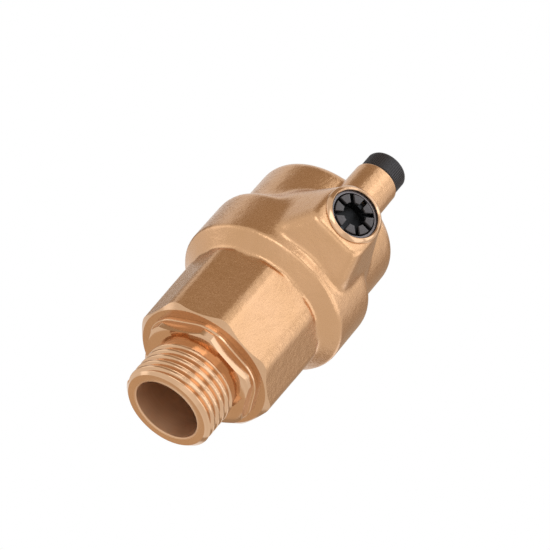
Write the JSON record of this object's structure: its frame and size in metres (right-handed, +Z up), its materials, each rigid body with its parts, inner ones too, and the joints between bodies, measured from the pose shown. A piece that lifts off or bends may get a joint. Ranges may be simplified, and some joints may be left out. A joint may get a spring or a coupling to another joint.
{
  "type": "air release valve",
  "caption": "Automatic air release valve: brass float housing with an octagonal skirt, a side port, a capped vent post and a male pipe-thread inlet.",
  "frame": {"origin": "centre of the inlet thread's end face", "axes": "+Z up the main axis, from the inlet to the domed top; the side port and the vent post are on the -Y side"},
  "size_m": [0.04, 0.0471, 0.0731],
  "materials": {
    "cast_brass": "satin cast",
    "turned_brass": "bright turned",
    "stainless_steel": "satin",
    "dark_steel": "dark phosphated",
    "black_plastic": "matt moulded",
    "pale_plastic": "moulded",
    "rubber": "matt"
  },
  "bodies": {
    "valve_body": {"housing": "cast_brass", "connector": "turned_brass", "connector_seal": "rubber", "valve_seat": "turned_brass", "seat_seal": "rubber", "lever_bracket": "stainless_steel", "bracket_clip": "stainless_steel", "lever_pin": "stainless_steel", "pin_clip": "stainless_steel", "lever_spring": "stainless_steel", "port_plug": "black_plastic", "plug_seal": "rubber", "plug_ring": "dark_steel"},
    "float": {"float_shell": "pale_plastic", "float_base": "pale_plastic", "float_link": "stainless_steel"},
    "lever": {"lever": "stainless_steel", "shutter_pad": "rubber"},
    "gasket": {"cap_gasket": "rubber"},
    "cap": {"vent_cap": "black_plastic"}
  },
  "joints": [
    {"name": "float_rise", "type": "slide", "parent": "valve_body", "child": "float", "axis": [0, 0, 1], "range_m": [0, 0.003]},
    {"name": "lever_swing", "type": "hinge", "parent": "valve_body", "child": "lever", "pos_m": [0, -0.0085, 0.0464], "axis": [1, 0, 0], "range_deg": [0, 18], "stiffness_Nm_per_rad": 0.0001, "springref_deg": 28.65, "deforming": ["lever_spring"]},
    {"name": "cap_lift", "type": "slide", "parent": "valve_body", "child": "gasket", "axis": [0, 0, 1], "range_m": [0, 0.0012]},
    {"name": "cap_turn", "type": "hinge", "parent": "gasket", "child": "cap", "pos_m": [0, -0.0184, 0.0685], "axis": [0, 0, 1], "range_deg": [0, 540]}
  ],
  "couplings": [
    {"joint": "lever_swing", "follows": "float_rise", "rad_per_m": 104.7},
    {"joint": "cap_turn", "follows": "cap_lift", "rad_per_m": 7853}
  ]
}
